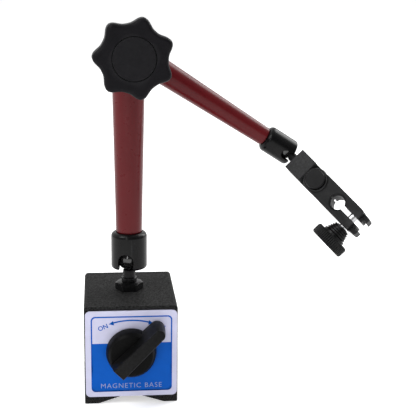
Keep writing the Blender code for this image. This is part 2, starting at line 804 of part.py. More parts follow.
def make_end_nut(elbow, front):
    """A hexagonal cap nut with a domed end, on the draw bolt's rear thread."""
    corner = 13.0 / 2 / math.cos(math.radians(30))
    nut = prism("elbow_end_nut", [circle(0, 0, corner, 6)], elbow, front - 5.2, front)
    side = [(r, front - 3.6 - h) for r, h in sphere_points(5.6, 90, 0, 5)]
    dome = [(0, front - 1.0), (5.6, front - 1.0), *side]
    cut(nut, turned("nut_dome_join", dome, elbow, MEDIUM, where=CUTTERS), "UNION")
    cut(nut, rod("nut_bore_cut", 4.2, front - 6.2, front + 1, elbow, MEDIUM, CUTTERS))
    finish(nut, "black_oxide")


# ---- swivel block and clamp ------------------------------------------------------------------------------
def make_tip_stud(stud):
    """Neck, block and tongue. stud has local Z away from the ball, and its front is local -Y."""
    neck_start = UPPER_BALL_RADIUS * -math.cos(math.radians(155)) + GAP
    profile = [
        (0, BLOCK_START + 1.0),
        (UPPER_NECK_RADIUS + 0.3, BLOCK_START + 1.0),
        (UPPER_NECK_RADIUS + 0.3, BLOCK_START - 0.4),
        (UPPER_NECK_RADIUS, BLOCK_START - 1.2),
        (UPPER_NECK_RADIUS, neck_start + 1.0),
        (2.1, neck_start),
        (1.7, neck_start),
        (1.7, -1.0),
        (0, -1.0),
    ]
    neck = turned("swivel_block", profile, stud, MEDIUM)
    half = BAR_HALF_WIDTH
    solid = block(
        "block_join",
        (-half, -BAR_HALF_THICK, BLOCK_START),
        (half, BAR_HALF_THICK, BLOCK_END),
        stud,
        CUTTERS,
    )
    cut(neck, solid, "UNION")
    tongue_outline = [(-half, BLOCK_END - 2), (half, BLOCK_END - 2), *arc(0, PIVOT_AT, half, 0, 180, 12)]
    tongue = prism("tongue_plate_join", [tongue_outline], stud, -BAR_HALF_THICK, -GAP, CUTTERS)
    cut(neck, aim(tongue, (0, 0, 0), (90, 0, 0)), "UNION")
    pivot = rod("tongue_pivot_cut", PIVOT_RADIUS + 0.2, -9, 9, stud, COARSE, CUTTERS)
    cut(neck, aim(pivot, (0, 0, PIVOT_AT), (90, 0, 0)))
    finish(neck, "black_oxide")


def bar_outline():
    """The clamp bar from the front: x across, y away from the ball."""
    half = BAR_HALF_WIDTH
    corner = 2.4
    return [
        *arc(0, PIVOT_AT, BAR_NOSE, 180, 360, 12),
        (half, PIVOT_AT + 3.0),
        *arc(half - corner, BAR_END - corner, corner, 0, 90, 4),
        *arc(corner - half, BAR_END - corner, corner, 90, 180, 4),
        (-half, PIVOT_AT + 3.0),
    ]


def lug_outline(side):
    """One dovetail jaw, from the front. side is 1 or -1 along x."""
    tip = 1.2
    points = [
        (SLOT_HALF, BAR_END - 4),
        (LUG_HALF_WIDTH, BAR_END - 4),
        *arc(LUG_HALF_WIDTH - tip, LUG_END - tip, tip, 0, 90, 3),
        (DOVETAIL_MOUTH_HALF, LUG_END),
        (DOVETAIL_ROOT_HALF, DOVETAIL_FLOOR),
        (SLOT_HALF, DOVETAIL_FLOOR),
    ]
    return [(side * x, y) for x, y in points]


def keyhole_outline():
    """The stem hole, with the slot that runs from it out through the jaws."""
    start = math.degrees(math.asin(SLOT_HALF / KEYHOLE_RADIUS))
    return [
        (SLOT_HALF, LUG_END + 4),
        *arc(0, KEYHOLE_AT, KEYHOLE_RADIUS, 90 - start, start - 270, 20),
        (-SLOT_HALF, LUG_END + 4),
    ]


def relief_outline():
    """A thin slit behind the stem hole, with a round end, that lets the jaws flex."""
    thin = 0.4
    start = math.degrees(math.asin(thin / RELIEF_RADIUS))
    return [
        (thin, KEYHOLE_AT),
        *arc(0, RELIEF_AT, RELIEF_RADIUS, 90 - start, start - 270, 8),
        (-thin, KEYHOLE_AT),
    ]


def make_clamp_bar(stud):
    thick = BAR_HALF_THICK
    face = (90, 0, 0)
    bar = aim(prism("clamp_bar", [bar_outline()], stud, -thick, thick), (0, 0, 0), face)
    for side, word in ((1, "left"), (-1, "right")):
        lug = prism(f"lug_{word}_join", [lug_outline(side)], stud, -thick, -LUG_FRONT, CUTTERS)
        cut(bar, aim(lug, (0, 0, 0), face), "UNION")
    half = BAR_HALF_WIDTH
    nose = PIVOT_AT - BAR_NOSE - 1
    rebate = block("bar_rebate_cut", (-half - 1, 0, nose), (half + 1, thick + 1, BAR_STEP), stud, CUTTERS)
    cut(bar, rebate)
    through = (-thick - 1, thick + 1)
    keyhole = prism("keyhole_cut", [keyhole_outline()], stud, *through, CUTTERS)
    cut(bar, aim(keyhole, (0, 0, 0), face))
    relief = prism("relief_cut", [relief_outline()], stud, *through, CUTTERS)
    cut(bar, aim(relief, (0, 0, 0), face))
    deep = KEYHOLE_CHAMFER
    sink = [
        (0, thick + 0.5),
        (KEYHOLE_RADIUS + deep + 0.5, thick + 0.5),
        (KEYHOLE_RADIUS - 0.5, thick - deep - 0.5),
        (0, thick - deep - 0.5),
    ]
    chamfer = turned("keyhole_chamfer_cut", sink, stud, MEDIUM, where=CUTTERS)
    cut(bar, aim(chamfer, (0, 0, KEYHOLE_AT), face))
    pivot = rod("bar_pivot_cut", PIVOT_RADIUS + 0.2, -9, 9, stud, COARSE, CUTTERS)
    cut(bar, aim(pivot, (0, 0, PIVOT_AT), face))
    screw_way = rod("clamp_screw_cut", CLAMP_SCREW_RADIUS + GAP, -12, 12, stud, COARSE, CUTTERS)
    cut(bar, aim(screw_way, (0, 0, CLAMP_SCREW_AT), (0, 90, 0)))
    finish(bar, "black_oxide")


def make_pivot(stud):
    face = (90, 0, 0)
    front = BAR_HALF_THICK
    washer = [(7.0, front + 1.1), (7.0, front + GAP), (2.9, front + GAP), (2.9, front + 1.1)]
    ring = turned("clamp_pivot_washer", washer, stud, MEDIUM, closed=True)
    finish(aim(ring, (0, 0, PIVOT_AT), face), "black_oxide")
    head = front + 1.4
    profile = [
        (0, head + 1.9),
        (PIVOT_HEAD_RADIUS - 0.4, head + 1.9),
        (PIVOT_HEAD_RADIUS, head + 1.5),
        (PIVOT_HEAD_RADIUS, head),
        (PIVOT_RADIUS, head),
        (PIVOT_RADIUS, -front - 4.0),
        (0, -front - 4.0),
    ]
    screw = turned("clamp_pivot_screw", profile, stud, MEDIUM)
    finish(aim(screw, (0, 0, PIVOT_AT), face), "black_oxide")
    corner = 8.0 / 2 / math.cos(math.radians(30))
    hexagon, bore = circle(0, 0, corner, 6), circle(0, 0, PIVOT_RADIUS + 0.2, COARSE)
    nut = prism("clamp_pivot_nut", [hexagon, bore], stud, -front - GAP - 3.4, -front - GAP)
    finish(aim(nut, (0, 0, PIVOT_AT), face), "black_oxide")


def make_clamp_screw(stud):
    """The thumb screw across the jaws. Its local Z points out of the bar, to local +X of the stud."""
    side = BAR_HALF_WIDTH
    inner, outer = CLAMP_KNOB_INNER, CLAMP_KNOB_OUTER
    radius = CLAMP_KNOB_RADIUS
    start = side + 0.4
    step = (inner - start) / 4
    ridges = []
    for i, ridge in enumerate((6.7, 6.1, 5.5, 4.9)):
        high = inner - i * step
        neck = ridge - 1.0
        ridges += [(ridge, high), (ridge, high - 0.62 * step), (neck, high - 0.72 * step), (neck, high - step)]
    profile = [
        (radius - 0.7, outer),
        (radius, outer - 0.7),
        (radius, inner + 0.7),
        (radius - 0.7, inner),
        *ridges,
        (CLAMP_SCREW_RADIUS + 0.2, start),
        (CLAMP_SCREW_RADIUS + 0.2, outer - 2.0),
        (0, outer - 2.0),
        (0, outer),
    ]
    across = (0, 90, 0)
    at = (0, 0, CLAMP_SCREW_AT)
    knob = turned("clamp_knob", profile[-1:] + profile[:-1], stud, FINE)
    finish(aim(knob, at, across), "black_oxide")
    screw = rod("clamp_screw", CLAMP_SCREW_RADIUS, -side + 0.4, outer - 2.3, stud, COARSE)
    finish(aim(screw, at, across), "bright_steel")


# ---- the whole object ----------------------------------------------------------------------------------
def build():
    frame = empty("base_frame", None, (BASE_X, BASE_Y, 0))
    make_poles(frame)
    front = make_cover(frame, "front_cover", -1)
    make_stop_slot(frame, front)
    make_cover(frame, "rear_cover", 1)
    make_cover_screws(frame)
    make_label(frame)
    make_switch(empty("switch_axis", frame, (0, 0, SWITCH_HEIGHT), FACE_FRONT))

    ball = empty("lower_ball_centre", frame, (0, 0, LOWER_BALL_HEIGHT))
    make_base_stud(ball)
    make_ball("base_ball", ball, LOWER_BALL_RADIUS, 2.3, 1.8)
    lower = empty("lower_arm_axis", ball, (0, 0, 0), (0, 0, ARM_SWIVEL))
    make_lower_socket(lower)
    make_lower_arm(lower)

    elbow = empty("elbow_axis", lower, (0, 0, LOWER_LENGTH), FACE_FRONT)
    make_knob(elbow)
    make_draw_bolt(elbow)

    drop = math.radians(UPPER_DROP)
    tip_place = (
        UPPER_LENGTH * math.cos(drop),
        UPPER_OFFSET,
        LOWER_LENGTH - UPPER_LENGTH * math.sin(drop),
    )
    back = empty("upper_arm_axis", lower, tip_place, (0, UPPER_DROP - 90, 0))
    make_upper_socket(back)
    make_upper_arm(back)

    # The tip stud points away from the arm, in the plane of the socket's slot.
    slot_plane = empty("slot_plane", back, (0, 0, 0), (0, 0, UPPER_SLOT_TURN))
    stud = empty("tip_stud_axis", slot_plane, (0, 0, 0), (180 - TIP_TILT, 0, 0))
    stud_turned = empty("tip_stud", stud, (0, 0, 0), (0, 0, TIP_SPIN))
    tip_ball = make_ball("tip_ball", stud_turned, UPPER_BALL_RADIUS, 2.0, 1.4)
    tip_ball.rotation_euler.x = math.pi
    make_tip_stud(stud_turned)
    make_clamp_bar(stud_turned)
    make_pivot(stud_turned)
    make_clamp_screw(stud_turned)


clear_scene()
PARTS = collection("indicator_stand")
CUTTERS = collection("cutters")
MATERIALS = {name: make_material(name) for name in FINISHES}
build()
bpy.context.view_layer.update()
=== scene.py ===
"""Looks of a magnetic base indicator stand: fine meshes, materials, light and camera.

Lengths are millimetres unless a name says otherwise. Each piece is made in the frame of the part
that it belongs to, and then placed by that frame.
"""

import json
import math

import bmesh
import bpy
from mathutils import Euler, Matrix, Vector

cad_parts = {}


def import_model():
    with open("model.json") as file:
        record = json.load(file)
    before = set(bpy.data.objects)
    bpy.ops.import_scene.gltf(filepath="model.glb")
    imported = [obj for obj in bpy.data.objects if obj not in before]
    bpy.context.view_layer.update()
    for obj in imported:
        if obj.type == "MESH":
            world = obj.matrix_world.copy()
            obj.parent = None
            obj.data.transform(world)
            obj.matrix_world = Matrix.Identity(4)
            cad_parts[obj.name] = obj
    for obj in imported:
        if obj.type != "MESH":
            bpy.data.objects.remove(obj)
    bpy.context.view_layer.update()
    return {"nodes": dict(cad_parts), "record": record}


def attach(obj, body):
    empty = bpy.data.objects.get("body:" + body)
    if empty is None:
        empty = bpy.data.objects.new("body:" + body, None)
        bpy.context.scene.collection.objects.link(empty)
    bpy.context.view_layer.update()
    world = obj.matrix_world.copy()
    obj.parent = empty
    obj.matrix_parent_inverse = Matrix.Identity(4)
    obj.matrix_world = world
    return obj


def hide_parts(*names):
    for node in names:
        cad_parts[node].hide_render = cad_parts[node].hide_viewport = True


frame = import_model()

MM = 0.001
NODES = frame["nodes"]


# ---- frames of the parts -------------------------------------------------------------------
def placed(parent, at=(0, 0, 0), turn=(0, 0, 0)):
    angles = Euler([math.radians(angle) for angle in turn])
    return parent @ Matrix.Translation(Vector(at) * MM) @ angles.to_matrix().to_4x4()


FRONT = (90, 0, 0)  # local Z towards the front, X right, Y up
BASE_AT = (-53.86, 5.52, 0)
SWITCH_HEIGHT = 30
LOWER_BALL_HEIGHT = 73.0
LOWER_BALL_RADIUS = 6.8
UPPER_BALL_RADIUS = 5.0
ARM_SWIVEL = 2.4
LOWER_LENGTH = 113.5
LOWER_SLOT_TURN = -16
UPPER_LENGTH = 107.2
UPPER_OFFSET = 17.6
UPPER_SLOT_TURN = -15.5
DROP = 32.4  # how far the upper arm points below the horizontal, in degrees
TIP_TILT = 41.7
TIP_SPIN = 159.1

BASE = placed(Matrix.Identity(4), BASE_AT)
SWITCH = placed(BASE, (0, 0, SWITCH_HEIGHT), FRONT)
BALL_1 = placed(BASE, (0, 0, LOWER_BALL_HEIGHT))
LOWER = placed(BALL_1, turn=(0, 0, ARM_SWIVEL))
ELBOW = placed(LOWER, (0, 0, LOWER_LENGTH), FRONT)
UPPER = placed(
    LOWER,
    (
        UPPER_LENGTH * math.cos(math.radians(DROP)),
        UPPER_OFFSET,
        LOWER_LENGTH - UPPER_LENGTH * math.sin(math.radians(DROP)),
    ),
    (0, DROP - 90, 0),
)
SLOT_2 = placed(UPPER, turn=(0, 0, UPPER_SLOT_TURN))
TIP = placed(placed(SLOT_2, turn=(180 - TIP_TILT, 0, 0)), turn=(0, 0, TIP_SPIN))


# ---- mesh tools ------------------------------------------------------------------------------
def to_object(work, name="scratch"):
    mesh = bpy.data.meshes.new(name)
    work.to_mesh(mesh)
    work.free()
    obj = bpy.data.objects.new(name, mesh)
    bpy.context.scene.collection.objects.link(obj)
    return obj


def revolve(profile, steps=96, closed=False):
    """A turned solid about Z. profile is (radius, height), from the axis and back to it, or a ring."""
    work = bmesh.new()
    rings = []
    for radius, height in profile:
        if radius < 1e-6:
            rings.append([work.verts.new((0, 0, height))])
            continue
        turns = [2 * math.pi * i / steps for i in range(steps)]
        rings.append([work.verts.new((radius * math.cos(a), radius * math.sin(a), height)) for a in turns])
    pairs = list(zip(rings, rings[1:]))
    if closed:
        pairs.append((rings[-1], rings[0]))
    for one, two in pairs:
        for i in range(steps):
            j = (i + 1) % steps
            corners = []
            for vertex in (one[i % len(one)], one[j % len(one)], two[j % len(two)], two[i % len(two)]):
                if vertex not in corners:
                    corners.append(vertex)
            if len(corners) > 2:
                work.faces.new(corners)
    bmesh.ops.recalc_face_normals(work, faces=work.faces)
    return work


def loft(rings):
    """A closed solid through rings of the same number of points, capped at both ends."""
    work = bmesh.new()
    loops = [[work.verts.new(point) for point in ring] for ring in rings]
    count = len(loops[0])
    for one, two in zip(loops, loops[1:]):
        for i in range(count):
            j = (i + 1) % count
            work.faces.new((one[i], one[j], two[j], two[i]))
    work.faces.new(loops[-1])
    work.faces.new(list(reversed(loops[0])))
    bmesh.ops.recalc_face_normals(work, faces=work.faces)
    return work


def prism(outline, low, high):
    return loft([[(x, y, z) for x, y in outline] for z in (low, high)])


def arc(x, y, radius, start, end, count):
    angles = [math.radians(start + (end - start) * i / count) for i in range(count + 1)]
    return [(x + radius * math.cos(a), y + radius * math.sin(a)) for a in angles]


def circle(x, y, radius, count):
    return arc(x, y, radius, 0, 360 - 360 / count, count - 1)


def rounded_box(low_x, low_y, high_x, high_y, radius, steps=8):
    return [
        *arc(high_x - radius, low_y + radius, radius, -90, 0, steps),
        *arc(high_x - radius, high_y - radius, radius, 0, 90, steps),
        *arc(low_x + radius, high_y - radius, radius, 90, 180, steps),
        *arc(low_x + radius, low_y + radius, radius, 180, 270, steps),
    ]


def soften(work, width, segments=3, angle=30):
    """Rounds the edges sharper than angle."""
    edges = []
    for edge in work.edges:
        if len(edge.link_faces) == 2 and edge.calc_face_angle(0) >= math.radians(angle):
            edges.append(edge)
    bmesh.ops.bevel(
        work, geom=edges, offset=width, segments=segments, profile=0.5, affect="EDGES", clamp_overlap=True
    )
    return work


def turned_to(work, matrix):
    """The mesh moved by a matrix whose translation is in millimetres."""
    work.transform(matrix)
    return work


def shift(at=(0, 0, 0), turn=(0, 0, 0)):
    angles = Euler([math.radians(angle) for angle in turn])
    return Matrix.Translation(Vector(at)) @ angles.to_matrix().to_4x4()


def combine(work, other, operation="DIFFERENCE"):
    """The boolean of two solids, as a new mesh."""
    one, two = to_object(work), to_object(other)
    modifier = one.modifiers.new("boolean", "BOOLEAN")
    modifier.operation = operation
    modifier.solver = "EXACT"
    modifier.object = two
    bpy.context.view_layer.update()
    graph = bpy.context.evaluated_depsgraph_get()
    result = bmesh.new()
    result.from_mesh(one.evaluated_get(graph).to_mesh())
    bmesh.ops.remove_doubles(result, verts=result.verts, dist=0.0005)
    for obj in (one, two):
        mesh = obj.data
        bpy.data.objects.remove(obj)
        bpy.data.meshes.remove(mesh)
    return result


def piece(name, work, place, material, body, hides=(), smooth=32, weighted=True):
    """Turns a mesh in millimetres into a named piece that rides on a body."""
    bmesh.ops.scale(work, vec=(MM, MM, MM), verts=work.verts)
    obj = to_object(work, name)
    obj.matrix_world = place
    materials = material if isinstance(material, (list, tuple)) else [material]
    for each in materials:
        obj.data.materials.append(each)
    obj.data.shade_smooth()
    obj.data.set_sharp_from_angle(angle=math.radians(smooth))
    if weighted:
        normals = obj.modifiers.new("normals", "WEIGHTED_NORMAL")
        normals.keep_sharp = True
        normals.weight = 80
    bpy.context.view_layer.update()
    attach(obj, body)
    if hides:
        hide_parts(*hides)
    return obj


# ---- materials -------------------------------------------------------------------------------------
class Shader:
    """A small helper to write a node material line by line."""

    def __init__(self, name, **inputs):
        self.material = bpy.data.materials.new(name)
        self.material.use_nodes = True
        self.tree = self.material.node_tree
        self.bsdf = self.tree.nodes["Principled BSDF"]
        self.place = self.add("ShaderNodeTexCoord").outputs["Object"]
        for key, value in inputs.items():
            self.bsdf.inputs[key.replace("_", " ")].default_value = value

    def add(self, kind, **settings):
        node = self.tree.nodes.new(kind)
        for key, value in settings.items():
            setattr(node, key, value)
        return node

    def link(self, out, into):
        self.tree.links.new(out, into)

    def noise(self, scale, detail=4.0, roughness=0.55, stretch=None):
        node = self.add("ShaderNodeTexNoise")
        node.inputs["Scale"].default_value = scale
        node.inputs["Detail"].default_value = detail
        node.inputs["Roughness"].default_value = roughness
        source = self.place
        if stretch:
            mapping = self.add("ShaderNodeMapping")
            mapping.inputs["Scale"].default_value = stretch
            self.link(source, mapping.inputs["Vector"])
            source = mapping.outputs["Vector"]
        self.link(source, node.inputs["Vector"])
        return node.outputs["Fac"]

    def ramp(self, source, stops):
        node = self.add("ShaderNodeValToRGB")
        elements = node.color_ramp.elements
        while len(elements) < len(stops):
            elements.new(0.5)
        for element, (position, colour) in zip(elements, stops):
            element.position = position
            element.color = (*colour, 1.0)
        self.link(source, node.inputs["Fac"])
        return node.outputs["Color"]

    def span(self, source, low, high, start=0.0, end=1.0):
        node = self.add("ShaderNodeMapRange")
        values = (("From Min", low), ("From Max", high), ("To Min", start), ("To Max", end))
        for key, value in values:
            node.inputs[key].default_value = value
        self.link(source, node.inputs["Value"])
        return node.outputs["Result"]

    def mix(self, factor, one, two):
        node = self.add("ShaderNodeMix", data_type="RGBA")
        for socket, value in ((node.inputs[0], factor), (node.inputs[6], one), (node.inputs[7], two)):
            if isinstance(value, (tuple, float)):
                socket.default_value = (*value, 1.0) if isinstance(value, tuple) else value
            else:
                self.link(value, socket)
        return node.outputs[2]

    def sum(self, one, two, operation="ADD"):
        node = self.add("ShaderNodeMath", operation=operation)
        for socket, value in ((node.inputs[0], one), (node.inputs[1], two)):
            if isinstance(value, float):
                socket.default_value = value
            else:
                self.link(value, socket)
        return node.outputs[0]

    def bump(self, height, distance, strength=1.0):
        node = self.add("ShaderNodeBump")
        node.inputs["Strength"].default_value = strength
        node.inputs["Distance"].default_value = distance
        self.link(height, node.inputs["Height"])
        self.link(node.outputs["Normal"], self.bsdf.inputs["Normal"])

    def wear_and_edge_sheen(self, low=0.53, high=0.62):
        """How much an edge stands out, 0 to 1. It lightens sharp edges as a painted edge highlight, mixed
        with some rubbed wear.
        """
        # Pointiness picks out sharp edges, which are then painted lighter: partly a painted highlight,
        # partly wear.
        geometry = self.add("ShaderNodeNewGeometry")
        edge = self.span(geometry.outputs["Pointiness"], low, high)
        return self.sum(edge, self.noise(900.0, 3.0), "MULTIPLY")

    def colour(self, source):
        self.link(source, self.bsdf.inputs["Base Color"])

    def rough(self, source):
        self.link(source, self.bsdf.inputs["Roughness"])


def crinkle_paint():
    """Fine black wrinkle paint: grains about half a millimetre across."""
    s = Shader("crinkle_paint", Specular_IOR_Level=0.05)
    grains = s.noise(2400.0, 3.0, 0.6)
    coarse = s.noise(1150.0, 2.0, 0.5)
    height = s.sum(grains, coarse, "ADD")
    dark, light = 0.003, 0.028
    s.colour(s.ramp(s.noise(1500.0, 3.0, 0.6), [(0.40, (dark,) * 3), (0.60, (light,) * 3)]))
    s.rough(s.span(coarse, 0.3, 0.7, 0.55, 0.75))
    s.bump(height, 0.00018, 0.8)
    return s.material


def satin_black(name, tint, rough_low, rough_high, level, grain, depth, edge=0.05):
    """Dark satin finishes: oxide on steel and moulded plastic, with lighter edges that are partly rubbed
    wear and partly a painted edge highlight.
    """
    s = Shader(name, Specular_IOR_Level=level)
    dark = tuple(c * 0.75 for c in tint)
    base = s.ramp(s.noise(160.0, 4.0, 0.6), [(0.35, dark), (0.68, tint)])
    # edge is the colour painted on sharp edges: a painted edge highlight, with some rubbed wear.
    s.colour(s.mix(s.wear_and_edge_sheen(), base, (edge, edge, edge * 1.02)))
    s.rough(s.span(s.noise(420.0, 4.0, 0.6), 0.3, 0.7, rough_low, rough_high))
    s.bump(s.noise(grain, 3.0, 0.6), depth, 0.6)
    return s.material


def red_paint():
    """Deep red lacquer over metal, with slow changes of tone."""
    s = Shader("red_lacquer", Coat_Weight=0.1, Coat_Roughness=0.14, Specular_IOR_Level=0.12)
    tone = s.noise(45.0, 3.0, 0.5, (1.0, 1.0, 0.25))
    base = s.ramp(tone, [(0.3, (0.078, 0.0045, 0.0062)), (0.7, (0.105, 0.007, 0.0095))])
    s.colour(base)
    s.rough(s.span(s.noise(260.0, 3.0, 0.6), 0.3, 0.7, 0.26, 0.36))
    return s.material


def metal(name, tint, rough_low, rough_high, stretch=(1, 1, 1)):
    s = Shader(name, Metallic=1.0)
    dark = tuple(c * 0.72 for c in tint)
    s.colour(s.ramp(s.noise(300.0, 5.0, 0.6, stretch), [(0.3, dark), (0.7, tint)]))
    s.rough(s.span(s.noise(900.0, 4.0, 0.6, stretch), 0.3, 0.7, rough_low, rough_high))
    s.bump(s.noise(1600.0, 3.0, 0.6, stretch), 0.00002, 0.5)
    return s.material


def print_ink(name, tint, roughness):
    s = Shader(name, Specular_IOR_Level=0.06)
    dark = tuple(c * 0.93 for c in tint)
    s.colour(s.ramp(s.noise(220.0, 4.0, 0.6), [(0.3, dark), (0.7, tint)]))
    s.rough(s.span(s.noise(700.0, 3.0, 0.6), 0.3, 0.7, roughness, roughness + 0.1))
    s.bump(s.noise(1500.0, 2.0, 0.5), 0.000008, 0.4)
    return s.material


PAINT = crinkle_paint()
# The last number of black_oxide, and 0.05 elsewhere, is the lighter edge colour: a painted edge highlight
# with some wear.
OXIDE = satin_black("black_oxide", (0.0045, 0.0045, 0.0047), 0.2, 0.26, 0.13, 1400.0, 0.000004, 0.02)
BLOCK = satin_black("black_block", (0.014, 0.014, 0.0145), 0.38, 0.5, 0.07, 2600.0, 0.000015)
GLOSS = satin_black("black_polish", (0.012, 0.012, 0.012), 0.08, 0.14, 0.7, 1500.0, 0.000005)
PLASTIC = satin_black("black_plastic", (0.0066, 0.0062, 0.0076), 0.42, 0.55, 0.07, 2600.0, 0.00002)
HANDLE = satin_black("black_handle", (0.0035, 0.0035, 0.0035), 0.3, 0.42, 0.05, 2000.0, 0.00001)
RED = red_paint()
STEEL = metal("bright_steel", (0.5, 0.5, 0.51), 0.2, 0.34)
GROUND = metal("ground_steel", (0.45, 0.45, 0.46), 0.28, 0.42, (14.0, 1.0, 1.0))
BRASS = metal("turned_brass", (0.6, 0.42, 0.15), 0.25, 0.4)
FERRITE = satin_black("magnet", (0.03, 0.03, 0.033), 0.5, 0.65, 0.4, 1300.0, 0.00003)
LABEL_WHITE = print_ink("label_white", (0.59, 0.59, 0.76), 0.35)
LABEL_BLUE = print_ink("label_blue", (0.003, 0.094, 0.47), 0.4)
LABEL_GREY = print_ink("label_grey", (0.3, 0.34, 0.47), 0.4)


# ---- magnetic base -----------------------------------------------------------------------------------
def base_shell():
    half, top, depth = 25.0, 55.0, 30.0
    vee_half, vee = 17.6, 5.7
    strip = 1.2
    lip = vee - strip * vee / vee_half

    def outline(inset):
        side = half - inset
        return [
            (-strip, lip),
            (-vee_half, 0.0),
            (-side, 0.0),
            *arc(2.0 - half, top - 2.0, 2.0 - inset, 180, 90, 8),
            *arc(half - 2.0, top - 2.0, 2.0 - inset, 90, 0, 8),
            (side, 0.0),
            (vee_half, 0.0),
            (strip, lip),
        ]

    edge, turns = 0.9, (0, 0.4, 0.8, 1.2, math.pi / 2)
    steps = [(edge * (1 - math.sin(a)), depth - edge * (1 - math.cos(a))) for a in turns]
    sections = [(inset, y) for inset, y in steps] + [(inset, -y) for inset, y in reversed(steps)]
    work = loft([[(x, y, z) for x, z in outline(inset)] for inset, y in sections])
    screws = [(x, z) for x in (-20, 20) for z in (11, 49)]
    for x, z in screws:
        sink = revolve([(0, 1), (3.1, 1), (3.1, -0.1), (2.8, -0.4), (2.8, -1.8), (0, -1.8)], 40)
        work = combine(work, turned_to(sink, shift((x, depth, z), (-90, 0, 0))))
    seam = prism(rounded_box(-26, -1, 26, 57, 0.5), -0.15, 0.15)
    inner = prism(rounded_box(-24.75, 0.3, 24.75, 54.75, 1.5), -0.5, 0.5)
    groove = combine(seam, inner)
    work = combine(work, turned_to(groove, shift((0, 27, 0), FRONT)))
    for face in work.faces:
        low = all(v.co.z < 6.2 for v in face.verts)
        if low and face.normal.z < -0.5:
            centre = face.calc_center_median()
            face.material_index = 2 if abs(centre.x) < strip else 1
    poles = ["base_pole_left", "base_pole_right", "base_spacer_upper", "base_spacer_lower"]
    hides = [*poles, "front_cover", "rear_cover"]
    piece("base_shell", work, BASE, [PAINT, GROUND, BRASS], "base", hides)
    for i, (x, z) in enumerate(screws):
        head = revolve([(0, -0.25), (2.3, -0.25), (2.6, -0.55), (2.6, -1.7), (0, -1.7)], 40)
        socket = prism(circle(0, 0, 1.45, 6), -1.2, 1.0)
        head = turned_to(combine(head, socket), shift((x, depth, z), (-90, 0, 0)))
        piece(f"rear_screw_{i + 1}", head, BASE, OXIDE, "base", [f"rear_cover_screw_{i + 1}"])


def flat_print(name, outlines, low, high, material, holes=()):
    """Ink on the label, as a thin raised shape seen from the front."""
    work = prism(outlines, low, high)
    for hole in holes:
        work = combine(work, prism(hole, low - 1, high + 1))
    return piece(name, work, placed(BASE, turn=FRONT), material, "base", weighted=False)


def lettering(name, text, size, centre, width, tilt, low, material, spacing=1.0, weight=0.0):
    """Plain lettering in the built-in font, scaled to a width and lying on the label.

    weight thickens the strokes, and tilt turns the word about its centre, in degrees."""
    curve = bpy.data.curves.new(name, "FONT")
    curve.body = text
    curve.size = size
    curve.space_character = spacing
    curve.align_x = "CENTER"
    curve.align_y = "CENTER"
    curve.extrude = 0.02
    curve.offset = weight
    curve.resolution_u = 4
    drawn = bpy.data.objects.new(name + "_drawn", curve)
    bpy.context.scene.collection.objects.link(drawn)
    bpy.context.view_layer.update()
    mesh = bpy.data.meshes.new_from_object(drawn.evaluated_get(bpy.context.evaluated_depsgraph_get()))
    bpy.data.objects.remove(drawn)
    work = bmesh.new()
    work.from_mesh(mesh)
    bmesh.ops.remove_doubles(work, verts=work.verts, dist=0.001)
    xs = [v.co.x for v in work.verts]
    ys = [v.co.y for v in work.verts]
    middle = Vector(((min(xs) + max(xs)) / 2, (min(ys) + max(ys)) / 2, 0))
    scale = width / (max(xs) - min(xs))
    fit = Matrix.Diagonal((scale, scale, 1, 1)) @ Matrix.Translation(-middle)
    work.transform(fit)
    work.transform(shift((centre[0], centre[1], low + 0.02), (0, 0, tilt)))
    return piece(name, work, placed(BASE, turn=FRONT), material, "base", weighted=False)


def label():
    face = 30.3
    top = face + 0.5
    plate = soften(prism(rounded_box(-24.4, 4.15, 24.6, 52.9, 2.6, 10), face - 0.25, top), 0.12, 2, 60)
    piece("label_plate", plate, placed(BASE, turn=FRONT), LABEL_WHITE, "base", ["front_label"])
    low, high = top - 0.02, top + 0.03
    outer = rounded_box(-21.4, 7.0, 21.9, 50.0, 2.4, 10)
    inner = rounded_box(-20.65, 7.7, 21.15, 49.25, 1.8, 10)
    flat_print("label_outline", outer, low, high, LABEL_BLUE, [inner])
    field = [
        (21.6, 34.75),
        (-21.1, 34.75),
        *arc(-21.1 + 2.1, 7.25 + 2.1, 2.1, 180, 270, 8),
        *arc(21.6 - 2.1, 7.25 + 2.1, 2.1, 270, 360, 8),
    ]
    flat_print("label_field", field, low, high, LABEL_BLUE)
    # The arrow bows over the switch, from the on mark to the off mark.
    span, rise = 9.9, 1.35
    radius = (span**2 + rise**2) / (2 * rise)
    y0 = 47.6 - radius
    reach = math.degrees(math.asin(span / radius))
    stroke = 0.4
    bow = [
        *arc(0, y0, radius + stroke, 90 + reach, 90 - reach, 24),
        *arc(0, y0, radius - stroke, 90 - reach, 90 + reach, 24),
    ]
    flat_print("label_arrow_bow", bow, low, high, LABEL_BLUE)
    for side, word in ((-1, "left"), (1, "right")):
        tip = Vector((side * 11.9, 45.65))
        way = Vector((side * 1.0, -0.22)).normalized()
        across = Vector((-way.y, way.x))
        back = tip - way * 2.7
        head = [tuple(tip), tuple(back + across * 1.3), tuple(back - across * 1.3)]
        flat_print(f"label_arrow_{word}", head, low, high, LABEL_BLUE)
    lettering("label_on", "ON", 4.4, (-15.0, 43.9), 5.3, 22, high - 0.03, LABEL_BLUE, 1.0, 0.07)
    lettering("label_off", "OFF", 4.0, (15.2, 43.9), 6.0, -22, high - 0.03, LABEL_BLUE, 1.0, 0.07)
    lettering("label_caption", "MAGNETIC BASE", 4.0, (0.05, 10.4), 32.6, 0, high, LABEL_GREY, 1.15, -0.04)


